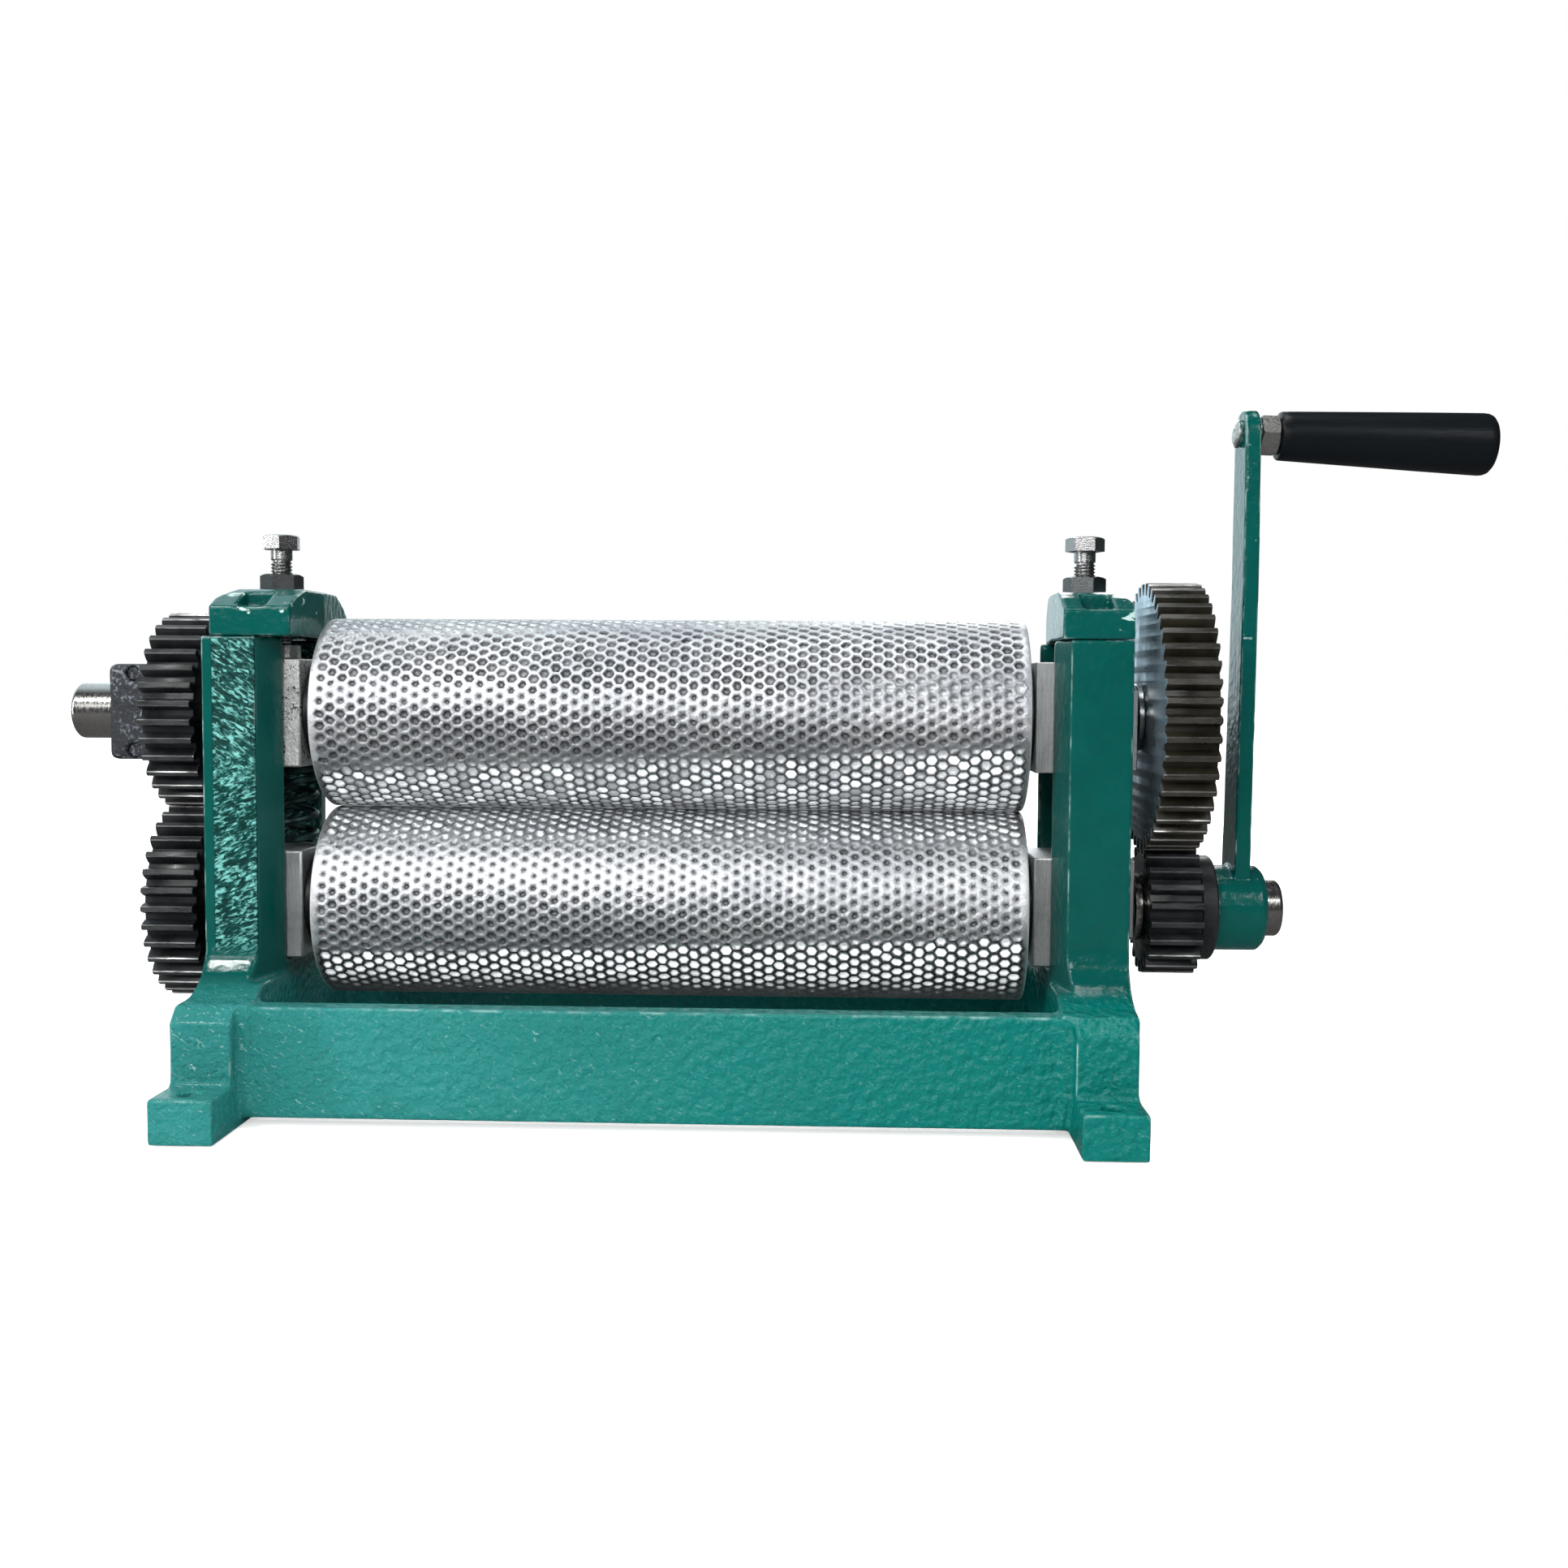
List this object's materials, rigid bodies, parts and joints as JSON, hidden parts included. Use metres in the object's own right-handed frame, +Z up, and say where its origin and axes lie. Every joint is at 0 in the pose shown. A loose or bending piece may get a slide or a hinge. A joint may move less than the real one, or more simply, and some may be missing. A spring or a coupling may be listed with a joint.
{
  "type": "comb foundation mill",
  "caption": "Hand-cranked bench mill that embosses wax sheet between two honeycomb-engraved rollers in a cast frame, geared together at one end and cranked at the other.",
  "frame": {"origin": "centre of the footprint of the whole mill, on the bench, under the middle of its overall length", "axes": "+X along the rollers towards the crank, +Y the feed direction away from the front, +Z up; the rollers' own middle is at X -0.042 m"},
  "size_m": [0.632, 0.204, 0.3075],
  "materials": {
    "painted_casting": "gloss enamel over a rough sand casting",
    "aluminium": "engraved, worn bright",
    "bare_steel": "turned or milled, lightly stained",
    "black_gear_steel": "black oxide, worn on the edges",
    "brown_gear_steel": "brown-black oxide, worn on the teeth",
    "bronze": "turned bronze",
    "zinc_steel": "bright zinc plate",
    "black_plastic": "moulded, satin"
  },
  "bodies": {
    "frame": {"frame": "painted_casting", "left_cap": "painted_casting", "left_cap_screw_back": "zinc_steel", "left_cap_screw_front": "zinc_steel", "left_spring": "bare_steel", "lower_left_block": "bare_steel", "lower_left_bush": "bronze", "lower_right_block": "bare_steel", "lower_right_bush": "bronze", "right_cap": "painted_casting", "right_cap_screw_back": "zinc_steel", "right_cap_screw_front": "zinc_steel", "right_spring": "bare_steel"},
    "upper_bearings": {"left_pad": "bare_steel", "right_pad": "bare_steel", "upper_left_block": "bare_steel", "upper_left_bush": "bronze", "upper_right_block": "bare_steel", "upper_right_bush": "bronze"},
    "upper_roller_shaft": {"drive_wheel": "brown_gear_steel", "drive_wheel_key": "bare_steel", "drive_wheel_screw": "zinc_steel", "drive_wheel_washer": "zinc_steel", "timing_hub": "black_gear_steel", "timing_hub_screw_lower": "bare_steel", "timing_hub_screw_upper": "bare_steel", "upper_left_collar": "black_gear_steel", "upper_left_spacer": "bare_steel", "upper_right_collar": "black_gear_steel", "upper_right_spacer": "bare_steel", "upper_roller": "aluminium", "upper_shaft": "bare_steel", "upper_timing_gear": "black_gear_steel", "upper_timing_key": "bare_steel"},
    "lower_roller_shaft": {"lower_left_collar": "black_gear_steel", "lower_left_spacer": "bare_steel", "lower_right_collar": "black_gear_steel", "lower_right_spacer": "bare_steel", "lower_roller": "aluminium", "lower_shaft": "bare_steel", "lower_timing_gear": "black_gear_steel", "lower_timing_key": "bare_steel", "lower_timing_screw": "zinc_steel", "lower_timing_washer": "zinc_steel"},
    "crank": {"crank_arm": "painted_casting", "crank_grub_screw": "bare_steel", "crank_spindle": "bare_steel", "drive_dowel_1": "bare_steel", "drive_dowel_2": "bare_steel", "grip_collar": "zinc_steel", "grip_ring": "bare_steel", "pinion": "black_gear_steel"},
    "grip": {"grip": "black_plastic"},
    "left_screw": {"left_adjusting_screw": "zinc_steel"},
    "right_screw": {"right_adjusting_screw": "zinc_steel"},
    "left_nut": {"left_lock_nut": "zinc_steel"},
    "right_nut": {"right_lock_nut": "zinc_steel"}
  },
  "joints": [
    {"name": "gap_slide", "type": "slide", "parent": "frame", "child": "upper_bearings", "axis": [0, 0, 1], "range_m": [0, 0.0015], "deforming": ["left_spring", "right_spring"]},
    {"name": "upper_roller_spin", "type": "hinge", "parent": "upper_bearings", "child": "upper_roller_shaft", "pos_m": [-0.04254, 0, 0.172], "axis": [1, 0, 0], "continuous": true},
    {"name": "lower_roller_spin", "type": "hinge", "parent": "frame", "child": "lower_roller_shaft", "pos_m": [-0.04254, 0, 0.087], "axis": [1, 0, 0], "continuous": true},
    {"name": "crank_spin", "type": "hinge", "parent": "frame", "child": "crank", "pos_m": [0.21006, 0, 0.087], "axis": [1, 0, 0], "continuous": true},
    {"name": "grip_spin", "type": "hinge", "parent": "crank", "child": "grip", "pos_m": [0.21851, 0, 0.29665], "axis": [0.9991, 0, -0.0419], "continuous": true},
    {"name": "left_screw_turn", "type": "hinge", "parent": "upper_bearings", "child": "left_screw", "pos_m": [-0.22264, 0, 0.2283], "axis": [0, 0, 1], "range_deg": [0, 360]},
    {"name": "right_screw_turn", "type": "hinge", "parent": "upper_bearings", "child": "right_screw", "pos_m": [0.13936, 0, 0.2283], "axis": [0, 0, 1], "range_deg": [0, 360]},
    {"name": "left_nut_turn", "type": "hinge", "parent": "frame", "child": "left_nut", "pos_m": [-0.22264, 0, 0.2283], "axis": [0, 0, 1], "range_deg": [0, 60]},
    {"name": "right_nut_turn", "type": "hinge", "parent": "frame", "child": "right_nut", "pos_m": [0.13936, 0, 0.2283], "axis": [0, 0, 1], "range_deg": [0, 60]}
  ],
  "couplings": [
    {"joint": "lower_roller_spin", "follows": "upper_roller_spin", "ratio": -1},
    {"joint": "crank_spin", "follows": "upper_roller_spin", "ratio": -2.0909},
    {"joint": "left_screw_turn", "follows": "gap_slide", "rad_per_m": 4188.8},
    {"joint": "right_screw_turn", "follows": "gap_slide", "rad_per_m": 4188.8}
  ]
}
